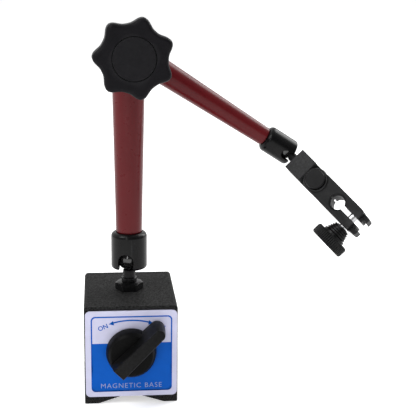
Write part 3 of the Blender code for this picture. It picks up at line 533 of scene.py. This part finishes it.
# ---- switch -------------------------------------------------------------------------------------------
def switch_dial():
    """The round knob with its long lever. Local Z is towards the front."""
    back, face = 31.3, 38.2
    profile = [
        (0, face),
        (10.6, face),
        *[(10.6 + 0.9 * math.sin(a), face - 0.9 + 0.9 * math.cos(a)) for a in (0.3, 0.6, 0.9, 1.2)],
        (12.1, face - 1.5),
        (12.75, face - 2.3),
        (13.5, back + 0.6),
        (13.3, back),
        (0, back),
    ]
    disc = revolve(profile, 128)
    rings = []
    for height, tip, heel, end, tail in (
        (32.6, 4.2, 4.9, 19.2, 11.3),
        (38.0, 3.8, 4.5, 19.7, 11.0),
        (45.6, 3.0, 3.8, 20.3, 10.3),
        (46.5, 2.85, 3.65, 20.3, 10.1),
        (46.95, 2.4, 3.25, 20.1, 9.7),
    ):
        corner = 0.35
        ring = arc(end, 0, tip, -90, 90, 22)
        ring += arc(-tail + corner, heel - corner, corner, 90, 180, 3)
        ring += arc(-tail + corner, -heel + corner, corner, 180, 270, 3)
        rings.append([(x, y, height) for x, y in ring])
    lever = turned_to(loft(rings), shift(turn=(0, 0, 45)))
    piece("switch_dial", disc, SWITCH, HANDLE, "switch", ["switch_knob"])
    piece("switch_lever", lever, SWITCH, HANDLE, "switch")
    spindle = revolve([(0, 37.8), (4.9, 37.8), (4.9, 26.4), (14.5, 26.4), (14.5, 22.5), (0, 22.5)], 64)
    piece("switch_spindle", spindle, SWITCH, STEEL, "switch", ["switch_shaft"])


# ---- ball joints ---------------------------------------------------------------------------------------
def ball_stud():
    """Hexagon, neck and collar, about the lower ball's centre."""
    low, high = -17.8, -13.5
    corner = 13.5 / 2 / math.cos(math.radians(30))
    hexagon = prism(circle(0, 0, corner, 6), low, high)
    crown = [(0, high), (6.0, high), (7.9, high - 1.1), (7.9, low + 0.3), (7.5, low), (0, low)]
    hexagon = combine(hexagon, revolve(crown, 72), "INTERSECT")
    neck = [
        (0, 0.8),
        (2.2, 0.8),
        (2.2, -6.4),
        (2.9, -6.45),
        (3.35, -6.9),
        (3.55, -8.0),
        (3.6, -10.2),
        (3.75, -10.8),
        (4.1, -11.1),
        (4.2, -11.5),
        (4.2, -13.6),
        (4.2, -14.6),
        (0, -14.6),
    ]
    work = combine(hexagon, revolve(neck, 72), "UNION")
    piece("ball_stud", work, BALL_1, OXIDE, "base", ["base_ball_stud"])


def ball(name, place, radius, body, node, flat=155):
    angles = [math.radians(a) for a in range(0, flat + 1, 5)]
    side = [(radius * math.sin(a), radius * math.cos(a)) for a in angles]
    bottom = side[-1][1]
    hole = radius * 0.34
    work = revolve([*side, (hole, bottom), (hole, bottom + 2.2), (0, bottom + 2.2)], 72)
    piece(name, work, place, GLOSS, body, [node])


def socket(name, place, body, node, size, slot_half, slot_turn):
    """A sleeve with a slot for the neck. size is (radius, rim, top, bore, mouth, soft)."""
    radius, rim, top, bore, mouth, soft = size
    seat = -math.sqrt(bore**2 - mouth**2)
    low = 1.5
    profile = [
        *arc(radius - soft, top - soft, soft, 90, 0, 10),
        *arc(radius - low, low - rim, low, 0, -90, 6),
        (mouth + 0.4, -rim),
        (mouth, -rim + 0.4),
        *arc(0, 0, bore, math.degrees(math.asin(seat / bore)), 0, 6),
        (bore, top - 0.5),
        (bore + 0.4, top),
    ]
    sleeve = revolve(profile, 128, closed=True)
    outline = [(-slot_half, -rim - 3), (slot_half, -rim - 3), *arc(0, 0, slot_half, 0, 180, 24)]
    cutter = turned_to(prism(outline, 0.0, radius + 3), shift(turn=(90, 0, slot_turn)))
    piece(name, combine(sleeve, cutter), place, OXIDE, body, [node], 30)


# ---- arms ----------------------------------------------------------------------------------------------
def arm(name, place, body, node, length, end, middle, elbow, shoulder, head):
    """A tapered red tube, with a plain round head whose axis is local Y. head is (radius, front, back)."""
    head_radius, front, back = head
    tube = [
        (elbow, length),
        (middle, (length + shoulder) / 2),
        (end, shoulder + 0.5),
        (end - 0.25, shoulder),
        (end - 0.6, shoulder),
        (end - 0.6, shoulder - 5.0),
        (3.4, shoulder - 5.0),
        (3.4, length),
    ]
    work = revolve(tube, 128, closed=True)
    rim, turns = 0.9, (0, 0.5, 1.05, 1.57)
    flat = head_radius - rim
    crown = [
        (0, front),
        *[(flat + rim * math.sin(a), front - rim + rim * math.cos(a)) for a in turns],
        *[(flat + rim * math.cos(a), -back + rim - rim * math.sin(a)) for a in turns],
        (0, -back),
    ]
    work = combine(work, turned_to(revolve(crown, 128), shift((0, 0, length), FRONT)), "UNION")
    bore = revolve([(0, front + 1), (6.2, front + 1), (6.2, -back - 1), (0, -back - 1)], 64)
    work = combine(work, turned_to(bore, shift((0, 0, length), FRONT)))
    piece(name, work, place, RED, body, [node], 30)


# ---- elbow ---------------------------------------------------------------------------------------------
def star(inset, count=168):
    """The star knob's outline, drawn in by inset along its own normals."""
    tip, valley, lobes, turn = 20.5, 17.1, 7, math.radians(23.8)

    def point(angle):
        swing = (1 + math.cos(lobes * (angle - turn))) / 2
        radius = valley + (tip - valley) * swing**1.5
        return Vector((radius * math.cos(angle), radius * math.sin(angle)))

    points = []
    for i in range(count):
        angle = 2 * math.pi * i / count
        along = (point(angle + 0.01) - point(angle - 0.01)).normalized()
        outward = Vector((along.y, -along.x))
        points.append(tuple(point(angle) - outward * inset))
    return points


def star_knob():
    back, face, soft = 31.5, 41.7, 2.2
    rings = []
    for i in range(5):
        a = math.radians(90 * i / 4)
        rings.append((1.6 * (1 - math.sin(a)), back + 1.6 * (1 - math.cos(a))))
    rings.append((0.05, (back + face) / 2))
    for i in range(9):
        a = math.radians(90 * i / 8)
        rings.append((soft * (1 - math.cos(a)), face - soft + soft * math.sin(a)))
    work = loft([[(x, y, z) for x, y in star(inset)] for inset, z in rings])
    cone = [(16.2, 36.0), (16.2, 32.6), (15.4, 31.2), (11.5, 25.6), (11.0, 24.6)]
    hub = revolve([(0, 36.0), *cone, (11.0, 12.6), (10.5, 12.1), (0, 12.1)], 128)
    work = combine(work, hub, "UNION")
    # The cap sits in a pocket, with a fine ring groove left around it.
    pocket, floor = 11.05, face - 2.1
    mouth = pocket + 0.15
    hole = [
        (0, face + 1),
        (mouth, face + 1),
        (mouth, face + 0.01),
        (pocket, face - 0.35),
        (pocket, floor),
        (0, floor),
    ]
    work = combine(work, revolve(hole, 128))
    bore = revolve([(0, 26), (4.4, 26), (4.4, 11), (0, 11)], 64)
    work = combine(work, bore)
    piece("star_knob", work, ELBOW, PLASTIC, "elbow_knob", ["elbow_knob"], 30)
    rim, top = 10.8, face - 0.05
    cap = revolve([(0, top), (rim - 0.4, top), (rim, face - 0.3), (rim, face - 1.8), (0, face - 1.8)], 128)
    piece("knob_cap", cap, ELBOW, PLASTIC, "elbow_knob", ["elbow_knob_cap"])


def elbow_hardware():
    back = -24.4
    low = back - 2.4
    corner = 13.0 / 2 / math.cos(math.radians(30))
    nut = prism(circle(0, 0, corner, 6), low - 5.2, low)
    crown = [(0, low), (6.7, low), (7.6, low - 0.6), (7.6, low - 4.4), (6.5, low - 5.2), (0, low - 5.2)]
    nut = combine(nut, revolve(crown, 72), "INTERSECT")
    dome = 5.6
    angles = [math.radians(90 - 7.5 * i) for i in range(13)]
    side = [(dome * math.sin(a), low - 3.6 - dome * math.cos(a)) for a in angles]
    nut = combine(nut, revolve([(0, low - 1.0), (5.6, low - 1.0), *side], 72), "UNION")
    nut = combine(nut, revolve([(0, low + 1), (4.2, low + 1), (4.2, low - 6.2), (0, low - 6.2)], 48))
    piece("cap_nut", nut, ELBOW, OXIDE, "draw_bolt", ["elbow_end_nut"])
    spring = [
        (4.6, back - 1.2),
        (4.6, back - 2.1),
        (8.3, back - 1.25),
        (8.45, back - 1.1),
        (8.4, back - 0.35),
        (8.2, back - 0.3),
    ]
    spring = revolve(spring, 96, True)
    piece("disc_spring", spring, ELBOW, STEEL, "draw_bolt", ["elbow_disc_spring"])
    washer = [(9.5, 11.8), (9.7, 11.6), (9.7, 10.2), (9.5, 10.0), (4.6, 10.0), (4.6, 11.8)]
    washer = revolve(washer, 96, True)
    piece("thrust_washer", washer, ELBOW, STEEL, "lower_arm", ["elbow_thrust_washer"])


# ---- clamp ---------------------------------------------------------------------------------------------
def swivel_block():
    """Neck, block and tongue. Local Z runs away from the ball, and the front is local -Y."""
    half, thick = 6.9, 5.3
    start, end, pivot = 9.4, 21.0, 28.2
    block = soften(prism(rounded_box(-half, start, half, end, 0.4, 3), -thick, thick), 0.35, 2, 60)
    work = turned_to(block, shift(turn=FRONT))
    tongue = prism([(-half, end - 2), (half, end - 2), *arc(0, pivot, half, 0, 180, 40)], -thick, -0.3)
    work = combine(work, turned_to(tongue, shift(turn=FRONT)), "UNION")
    neck = [
        (0, -1.0),
        (1.7, -1.0),
        (1.7, 4.9),
        (2.2, 5.0),
        (2.6, 5.9),
        (2.6, 8.0),
        (3.0, 8.8),
        (3.1, 9.6),
        (3.1, 11),
        (0, 11),
    ]
    work = combine(work, revolve(neck, 64), "UNION")
    hole = revolve([(0, 9), (2.7, 9), (2.7, -9), (0, -9)], 48)
    work = combine(work, turned_to(hole, shift((0, 0, pivot), FRONT)))
    piece("tip_block", work, TIP, BLOCK, "tip_block", ["swivel_block"], 30)


def clamp_bar():
    half, thick = 6.9, 5.3
    pivot, nose, step = 28.2, 6.2, 35.7
    end, lug_end, floor = 61.0, 65.5, 63.6
    hole_at, hole = 46.2, 4.0
    slit = 1.45
    corner = 2.4
    outline = [
        *arc(0, pivot, nose, 180, 360, 40),
        (half, pivot + 3),
        *arc(half - corner, end - corner, corner, 0, 90, 8),
        *arc(corner - half, end - corner, corner, 90, 180, 8),
        (-half, pivot + 3),
    ]
    bar = soften(prism(outline, -thick, thick), 0.4, 2, 60)
    for side in (1, -1):
        lug = [
            (slit, end - 5),
            (6.7, end - 5),
            *arc(6.1 - 1.3, lug_end - 1.3, 1.3, 0, 90, 6),
            (2.8, lug_end),
            (3.6, floor + 0.5),
            (3.6, floor),
            (2.9, floor - 0.8),
            (slit, floor - 0.8),
        ]
        lug = [(side * x, y) for x, y in lug]
        bar = combine(bar, soften(prism(lug, -thick, 2.5), 0.3, 2, 60), "UNION")
        inner = [(slit, end - 4), (3.4, end - 4), (3.4, end + 1.8), (2.6, end + 2.4), (slit, end + 2.4)]
        inner = [(side * x, y) for x, y in inner]
        bar = combine(bar, soften(prism(inner, -thick + 0.5, 3.6), 0.25, 2, 60), "UNION")
    rear = prism([(-8, 20), (8, 20), (8, step), (-8, step)], -thick - 1, 0)
    bar = combine(bar, rear)
    start = math.degrees(math.asin(slit / hole))
    keyhole = [(slit, 72), *arc(0, hole_at, hole, 90 - start, start - 270, 56), (-slit, 72)]
    bar = combine(bar, prism(keyhole, -thick - 1, thick + 1))
    thin = math.degrees(math.asin(0.4 / 0.9))
    relief = [(0.4, hole_at), *arc(0, 41.3, 0.9, 90 - thin, thin - 270, 20), (-0.4, hole_at)]
    bar = combine(bar, prism(relief, -thick - 1, thick + 1))
    sink = revolve([(0, thick + 0.5), (5.55, thick + 0.5), (3.9, thick - 1.15), (0, thick - 1.15)], 96)
    bar = combine(bar, turned_to(sink, shift((0, hole_at, 0))))
    bar = combine(bar, turned_to(revolve([(0, 9), (2.7, 9), (2.7, -9), (0, -9)], 48), shift((0, pivot, 0))))
    way = revolve([(0, 12), (2.7, 12), (2.7, -12), (0, -12)], 48)
    bar = combine(bar, turned_to(way, shift((0, 57.1, 0), (0, 90, 0))))
    work = turned_to(bar, shift(turn=FRONT))
    piece("jaw_bar", work, TIP, BLOCK, "clamp_bar", ["clamp_bar"], 30)


def clamp_hardware():
    place = placed(TIP, (0, 0, 28.2), FRONT)
    ring = [(5.9, 6.0), (6.2, 6.4), (6.5, 6.4), (7.0, 5.9), (7.0, 5.6), (2.9, 5.6), (2.9, 6.0)]
    ring = revolve(ring, 96, True)
    piece("pivot_ring", ring, place, OXIDE, "tip_block", ["clamp_pivot_washer"])
    head = [
        (0, 8.6),
        (4.9, 8.6),
        (5.25, 8.45),
        (5.4, 8.1),
        (5.4, 6.7),
        (2.5, 6.7),
        (2.5, -9.0),
        (2.2, -9.3),
        (0, -9.3),
    ]
    piece("pivot_head", revolve(head, 96), place, BLOCK, "tip_block", ["clamp_pivot_screw"])
    nut = prism(circle(0, 0, 8.0 / 2 / math.cos(math.radians(30)), 6), -9.0, -5.6)
    crown = [(0, -5.6), (4.3, -5.6), (4.7, -6.0), (4.7, -8.6), (4.3, -9.0), (0, -9.0)]
    nut = combine(nut, revolve(crown, 64), "INTERSECT")
    nut = combine(nut, revolve([(0, 0), (2.7, 0), (2.7, -12), (0, -12)], 48))
    piece("pivot_nut", nut, place, OXIDE, "tip_block", ["clamp_pivot_nut"])

    across = placed(TIP, (0, 0, 57.1), (0, 90, 0))
    inner, outer, radius = 14.5, 20.6, 10.4
    teeth, points = 54, 54 * 6
    rings = []
    levels = (
        (inner, 0.8),
        (inner + 0.7, 0.12),
        (inner + 1.0, 0),
        (outer - 1.0, 0),
        (outer - 0.7, 0.12),
        (outer, 0.8),
    )
    for z, shrink in levels:
        ring = []
        for i in range(points):
            angle = 2 * math.pi * i / points
            wave = abs(math.sin(teeth / 2 * angle))
            groove = 0.5 * (1 - wave**0.6) if shrink < 0.5 else 0
            r = radius - shrink - groove
            ring.append((r * math.cos(angle), r * math.sin(angle), z))
        rings.append(ring)
    knob = loft(rings)
    dish = revolve([(0, outer + 1), (7.4, outer + 1), (7.0, outer - 0.5), (0, outer - 0.5)], 96)
    knob = combine(knob, dish)
    start = 7.3
    hub = [(0, inner + 1), (6.9, inner + 1), (6.9, inner - 1.2), (6.5, inner - 1.5), (5.6, inner - 1.6)]
    z = inner - 1.6
    for r in (6.3, 5.8, 5.3, 4.8):
        hub += [(r - 0.35, z - 0.1), (r, z - 0.3), (r, z - 1.0), (r - 0.15, z - 1.2), (r - 0.5, z - 1.25)]
        z -= 1.3
    hub += [(3.4, z), (3.4, start + 0.1), (0, start + 0.1)]
    knob = combine(knob, revolve(hub, 96), "UNION")
    bore = [(0, start - 1), (2.6, start - 1), (2.6, outer - 2.2), (0, outer - 2.2)]
    knob = combine(knob, revolve(bore, 48))
    piece("thumb_knob", knob, across, OXIDE, "clamp_knob", ["clamp_knob"], 28)
    screw = revolve([(0, 18.2), (2.4, 18.2), (2.4, -6.2), (2.1, -6.5), (0, -6.5)], 48)
    piece("thumb_screw", screw, across, STEEL, "clamp_screw", ["clamp_screw"])


# ---- everything ------------------------------------------------------------------------------------------
base_shell()
label()
switch_dial()
ball_stud()
ball("lower_ball", BALL_1, LOWER_BALL_RADIUS, "base_ball", "base_ball")
lower_size = (9.9, 5.3, 15.2, 7.1, 6.12, 2.6)
socket("lower_sleeve", LOWER, "lower_arm", "lower_socket", lower_size, 4.3, LOWER_SLOT_TURN)
arm("lower_tube", LOWER, "lower_arm", "lower_arm", LOWER_LENGTH, 7.15, 8.05, 9.05, 15.5, (11.6, 9.7, 9.2))
arm("upper_tube", UPPER, "upper_arm", "upper_arm", UPPER_LENGTH, 5.3, 6.3, 7.3, 14.6, (9.7, 7.4, 6.8))
upper_size = (7.5, 4.1, 14.3, 5.3, 4.5, 2.6)
socket("upper_sleeve", UPPER, "upper_arm", "upper_socket", upper_size, 2.95, UPPER_SLOT_TURN)
ball("upper_ball", placed(TIP, turn=(180, 0, 0)), UPPER_BALL_RADIUS, "tip_ball", "tip_ball")
star_knob()
elbow_hardware()
swivel_block()
clamp_bar()
clamp_hardware()

FINISH = {
    "crinkle_paint": PAINT,
    "red_anodised": RED,
    "black_oxide": OXIDE,
    "black_plastic": PLASTIC,
    "label_print": LABEL_BLUE,
    "bright_steel": STEEL,
    "brass": BRASS,
    "ferrite": FERRITE,
}
for part in frame["record"]["subparts"]:
    node = NODES[part["node"]]
    node.data.materials.clear()
    node.data.materials.append(FINISH[part["material_slot"]])


# ---- floor, light and camera -----------------------------------------------------------------------------
def floor():
    work = bmesh.new()
    bmesh.ops.create_grid(work, x_segments=1, y_segments=1, size=30.0)
    obj = to_object(work, "studio_floor")
    obj.location.z = -0.0001
    s = Shader("studio_floor", Specular_IOR_Level=0.0)
    s.colour(s.ramp(s.noise(3.0, 2.0, 0.5), [(0.3, (0.86, 0.86, 0.86)), (0.7, (0.88, 0.88, 0.88))]))
    s.bsdf.inputs["Roughness"].default_value = 0.9
    s.bsdf.inputs["Emission Color"].default_value = (1, 1, 1, 1)
    s.bsdf.inputs["Emission Strength"].default_value = 0.4
    obj.data.materials.append(s.material)


def area(name, at, aim, size, watts, colour=(1, 1, 1)):
    light = bpy.data.lights.new(name, "AREA")
    light.shape = "RECTANGLE"
    light.size, light.size_y = size
    light.energy = watts
    light.color = colour
    obj = bpy.data.objects.new(name, light)
    obj.location = at
    obj.rotation_euler = (Vector(aim) - Vector(at)).to_track_quat("-Z", "Y").to_euler()
    bpy.context.scene.collection.objects.link(obj)


def world():
    """White behind and above, dimmer towards the camera's side."""
    made = bpy.data.worlds.new("studio")
    bpy.context.scene.world = made
    made.use_nodes = True
    tree = made.node_tree
    back = tree.nodes["Background"]
    place = tree.nodes.new("ShaderNodeTexCoord")
    split = tree.nodes.new("ShaderNodeSeparateXYZ")
    tree.links.new(place.outputs["Generated"], split.inputs["Vector"])
    ramp = tree.nodes.new("ShaderNodeMapRange")
    for key, value in (("From Min", -0.8), ("From Max", 0.5), ("To Min", 0.12), ("To Max", 1.1)):
        ramp.inputs[key].default_value = value
    tree.links.new(split.outputs["Y"], ramp.inputs["Value"])
    tree.links.new(ramp.outputs["Result"], back.inputs["Strength"])
    back.inputs["Color"].default_value = (1, 1, 1, 1)


def camera():
    yaw, pitch, roll = math.radians(-6.397), math.radians(14.344), math.radians(0.914)
    data = bpy.data.cameras.new("camera")
    data.sensor_width = 36.0
    data.lens = 1000.0 / 416.0 * 36.0
    obj = bpy.data.objects.new("camera", data)
    level = Matrix.Rotation(yaw, 4, "Z") @ Matrix.Rotation(math.pi / 2 - pitch, 4, "X")
    aim = level @ Matrix.Rotation(roll, 4, "Z")
    obj.matrix_world = Matrix.Translation(BASE.translation + Vector((-16.05, -531.45, 237.51)) * MM) @ aim
    bpy.context.scene.collection.objects.link(obj)
    bpy.context.scene.camera = obj


bpy.context.scene.view_settings.view_transform = "Standard"
floor()
world()
area("key", (-0.9, -0.5, 1.3), (-0.02, 0, 0.1), (0.9, 0.9), 14)
area("rim", (0.9, 0.6, 0.9), (0, 0, 0.12), (0.8, 1.0), 14)
area("strip", (-0.35, -0.9, 0.55), (-0.03, 0, 0.12), (0.10, 0.9), 2.2)
camera()
